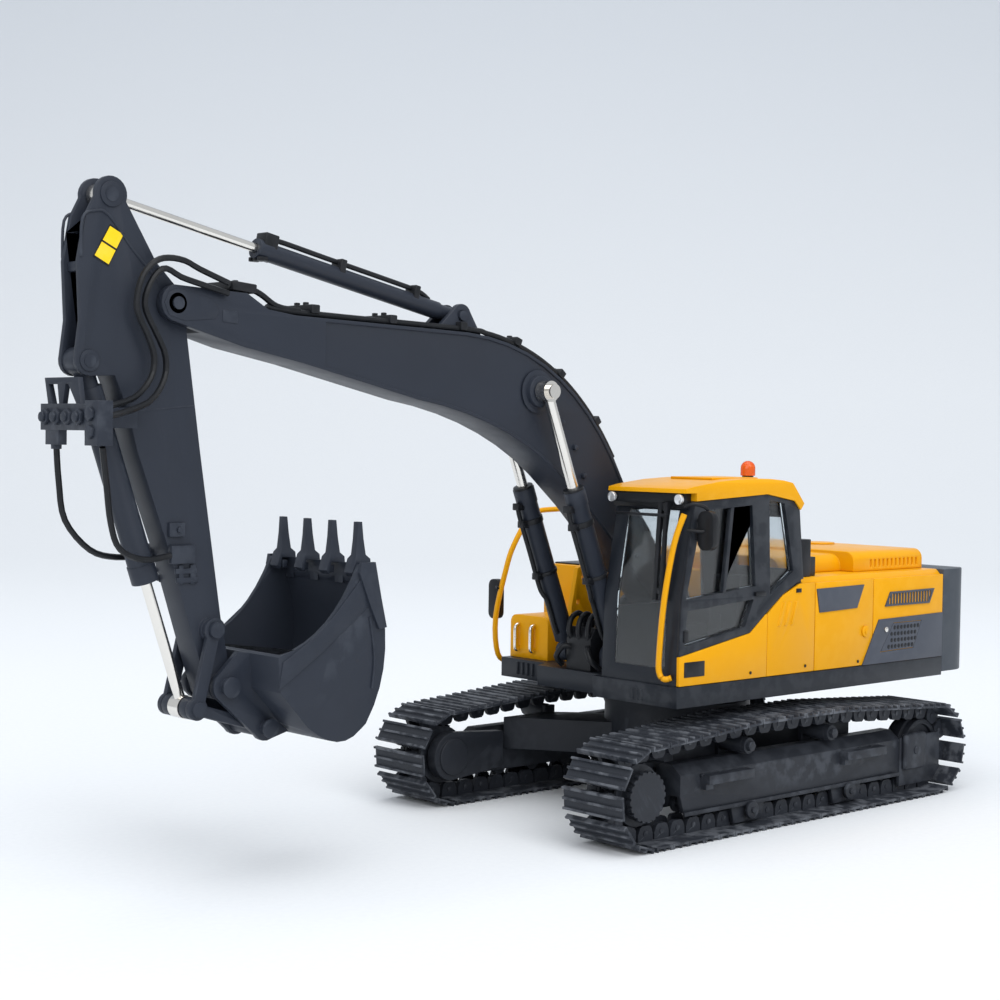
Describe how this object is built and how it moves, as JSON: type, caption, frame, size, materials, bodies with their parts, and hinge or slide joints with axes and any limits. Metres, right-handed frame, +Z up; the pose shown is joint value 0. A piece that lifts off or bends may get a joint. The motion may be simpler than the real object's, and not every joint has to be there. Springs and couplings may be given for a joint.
{
  "type": "toy excavator",
  "caption": "Display-scale crawler excavator: tracked undercarriage, slewing upper body with cab, and a boom, arm and bucket moved by rams through linkages.",
  "frame": {"origin": "on the swing axis, at the height of the ground under the tracks", "axes": "+X forwards along the boom, +Y to the cab side, +Z up along the swing axis"},
  "size_m": [0.1831, 0.0606, 0.1],
  "materials": {
    "undercarriage_paint": "satin dark grey paint",
    "track_metal": "matte dark grey, cast",
    "grey_paint": "satin mid grey paint",
    "yellow_paint": "satin orange-yellow paint",
    "dark_paint": "satin blue-grey paint",
    "bright_metal": "polished plating",
    "black_plastic": "moulded black",
    "trim_plastic": "printed dark panels",
    "clear_window": "clear moulded window",
    "amber_plastic": "glossy amber",
    "hose_rubber": "smooth black rubber"
  },
  "bodies": {
    "undercarriage": {"car_body": "undercarriage_paint", "track_frame_left": "undercarriage_paint", "track_frame_right": "undercarriage_paint", "track_shoes_left": "track_metal", "track_shoes_right": "track_metal", "track_links_left": "undercarriage_paint", "track_links_right": "undercarriage_paint", "track_rollers": "undercarriage_paint", "final_drives": "undercarriage_paint", "idler_yokes": "undercarriage_paint", "swing_pin": "bright_metal"},
    "sprocket_left": {"sprocket_left": "undercarriage_paint"},
    "sprocket_right": {"sprocket_right": "undercarriage_paint"},
    "idler_left": {"idler_left": "undercarriage_paint"},
    "idler_right": {"idler_right": "undercarriage_paint"},
    "carrier_front_left": {"carrier_front_left": "undercarriage_paint"},
    "carrier_front_right": {"carrier_front_right": "undercarriage_paint"},
    "carrier_rear_left": {"carrier_rear_left": "undercarriage_paint"},
    "carrier_rear_right": {"carrier_rear_right": "undercarriage_paint"},
    "upper": {"deck_frame": "grey_paint", "boom_bracket": "dark_paint", "counterweight": "grey_paint", "engine_bay": "yellow_paint", "side_panels": "yellow_paint", "trim_plates": "trim_plastic", "engine_hood": "yellow_paint", "exhaust_stack": "black_plastic", "tank_and_toolbox": "yellow_paint", "handrails": "yellow_paint", "mirrors": "black_plastic", "cab_shell": "dark_paint", "cab_door": "dark_paint", "cab_side_plate": "yellow_paint", "cab_roof": "yellow_paint", "cab_header": "dark_paint", "cab_glass": "clear_window", "cab_seat": "black_plastic", "cab_wiper": "black_plastic", "beacon_base": "black_plastic", "beacon_lens": "amber_plastic", "valve_block": "black_plastic", "upper_pins": "dark_paint"},
    "boom": {"boom": "dark_paint", "boom_pins": "dark_paint", "boom_hoses": "hose_rubber"},
    "boom_barrel_left": {"boom_barrel_left": "dark_paint"},
    "boom_barrel_right": {"boom_barrel_right": "dark_paint"},
    "boom_rod_left": {"boom_rod_left": "bright_metal"},
    "boom_rod_right": {"boom_rod_right": "bright_metal"},
    "arm": {"arm": "dark_paint", "arm_pins": "dark_paint", "hose_block": "dark_paint", "arm_hoses": "hose_rubber"},
    "arm_barrel": {"arm_barrel": "dark_paint"},
    "arm_rod": {"arm_rod": "bright_metal"},
    "bucket_barrel": {"bucket_barrel": "dark_paint"},
    "bucket_rod": {"bucket_rod": "bright_metal"},
    "guide_links": {"guide_links": "dark_paint"},
    "push_link": {"push_link": "dark_paint"},
    "bucket": {"bucket": "dark_paint"}
  },
  "joints": [
    {"name": "swing", "type": "hinge", "parent": "undercarriage", "child": "upper", "pos_m": [0, 0, 0], "axis": [0, 0, 1], "continuous": true},
    {"name": "sprocket_left_spin", "type": "hinge", "parent": "undercarriage", "child": "sprocket_left", "pos_m": [0.038, 0.0238, 0.00848], "axis": [0, 1, 0], "continuous": true},
    {"name": "idler_left_spin", "type": "hinge", "parent": "undercarriage", "child": "idler_left", "pos_m": [-0.039, 0.0238, 0.00848], "axis": [0, 1, 0], "continuous": true},
    {"name": "carrier_front_left_spin", "type": "hinge", "parent": "undercarriage", "child": "carrier_front_left", "pos_m": [0.01221, 0.0238, 0.01392], "axis": [0, 1, 0], "continuous": true},
    {"name": "carrier_rear_left_spin", "type": "hinge", "parent": "undercarriage", "child": "carrier_rear_left", "pos_m": [-0.01036, 0.0238, 0.01392], "axis": [0, 1, 0], "continuous": true},
    {"name": "sprocket_right_spin", "type": "hinge", "parent": "undercarriage", "child": "sprocket_right", "pos_m": [0.038, -0.0238, 0.00848], "axis": [0, 1, 0], "continuous": true},
    {"name": "idler_right_spin", "type": "hinge", "parent": "undercarriage", "child": "idler_right", "pos_m": [-0.039, -0.0238, 0.00848], "axis": [0, 1, 0], "continuous": true},
    {"name": "carrier_front_right_spin", "type": "hinge", "parent": "undercarriage", "child": "carrier_front_right", "pos_m": [0.01221, -0.0238, 0.01392], "axis": [0, 1, 0], "continuous": true},
    {"name": "carrier_rear_right_spin", "type": "hinge", "parent": "undercarriage", "child": "carrier_rear_right", "pos_m": [-0.01036, -0.0238, 0.01392], "axis": [0, 1, 0], "continuous": true},
    {"name": "boom_lift", "type": "hinge", "parent": "upper", "child": "boom", "pos_m": [0.0055, 0, 0.036], "axis": [0, 1, 0], "range_deg": [-15, 25]},
    {"name": "boom_barrel_left_tilt", "type": "hinge", "parent": "upper", "child": "boom_barrel_left", "pos_m": [0.0222, 0.00615, 0.0275], "axis": [0, 1, 0], "range_deg": [-15, 25]},
    {"name": "boom_rod_left_slide", "type": "slide", "parent": "boom_barrel_left", "child": "boom_rod_left", "axis": [0.3725, 0, 0.9281], "range_m": [-0.0085, 0.0052]},
    {"name": "boom_barrel_right_tilt", "type": "hinge", "parent": "upper", "child": "boom_barrel_right", "pos_m": [0.0222, -0.00615, 0.0275], "axis": [0, 1, 0], "range_deg": [-15, 25]},
    {"name": "boom_rod_right_slide", "type": "slide", "parent": "boom_barrel_right", "child": "boom_rod_right", "axis": [0.3725, 0, 0.9281], "range_m": [-0.0085, 0.0052]},
    {"name": "arm_swing", "type": "hinge", "parent": "boom", "child": "arm", "pos_m": [0.1102, 0, 0.083], "axis": [0, 1, 0], "range_deg": [-45, 15]},
    {"name": "arm_barrel_tilt", "type": "hinge", "parent": "boom", "child": "arm_barrel", "pos_m": [0.0558, 0, 0.0843], "axis": [0, 1, 0], "range_deg": [-7, 2.5]},
    {"name": "arm_rod_slide", "type": "slide", "parent": "arm_barrel", "child": "arm_rod", "axis": [0.9801, 0, 0.1985], "range_m": [-0.0115, 0.004]},
    {"name": "bucket_curl", "type": "hinge", "parent": "arm", "child": "bucket", "pos_m": [0.1015, 0, 0.0285], "axis": [0, 1, 0], "range_deg": [-60, 0]},
    {"name": "guide_links_swing", "type": "hinge", "parent": "arm", "child": "guide_links", "pos_m": [0.1035, 0, 0.0368], "axis": [0, 1, 0], "range_deg": [-30, 0]},
    {"name": "bucket_barrel_tilt", "type": "hinge", "parent": "arm", "child": "bucket_barrel", "pos_m": [0.1232, 0, 0.0745], "axis": [0, 1, 0], "range_deg": [-5, 0]},
    {"name": "bucket_rod_slide", "type": "slide", "parent": "bucket_barrel", "child": "bucket_rod", "axis": [-0.3266, 0, -0.9451], "range_m": [-0.0042, 0]},
    {"name": "push_link_swing", "type": "hinge", "parent": "bucket", "child": "push_link", "pos_m": [0.0946, 0, 0.022], "axis": [0, 1, 0], "range_deg": [0, 27]}
  ],
  "couplings": [
    {"joint": "idler_left_spin", "follows": "sprocket_left_spin", "ratio": 1},
    {"joint": "carrier_front_left_spin", "follows": "sprocket_left_spin", "ratio": 4.2558},
    {"joint": "carrier_rear_left_spin", "follows": "sprocket_left_spin", "ratio": 4.2558},
    {"joint": "idler_right_spin", "follows": "sprocket_right_spin", "ratio": 1},
    {"joint": "carrier_front_right_spin", "follows": "sprocket_right_spin", "ratio": 4.2558},
    {"joint": "carrier_rear_right_spin", "follows": "sprocket_right_spin", "ratio": 4.2558},
    {"joint": "boom_barrel_left_tilt", "follows": "boom_lift", "ratio": 0.9992},
    {"joint": "boom_rod_left_slide", "follows": "boom_lift", "m_per_rad": -0.018374},
    {"joint": "boom_barrel_right_tilt", "follows": "boom_lift", "ratio": 0.9992},
    {"joint": "boom_rod_right_slide", "follows": "boom_lift", "m_per_rad": -0.018374},
    {"joint": "arm_barrel_tilt", "follows": "arm_swing", "ratio": 0.1502},
    {"joint": "arm_rod_slide", "follows": "arm_swing", "m_per_rad": 0.014171},
    {"joint": "guide_links_swing", "follows": "bucket_curl", "ratio": 0.4845},
    {"joint": "bucket_barrel_tilt", "follows": "bucket_curl", "ratio": 0.0763},
    {"joint": "bucket_rod_slide", "follows": "bucket_curl", "m_per_rad": 0.003742},
    {"joint": "push_link_swing", "follows": "bucket_curl", "ratio": -0.435}
  ]
}
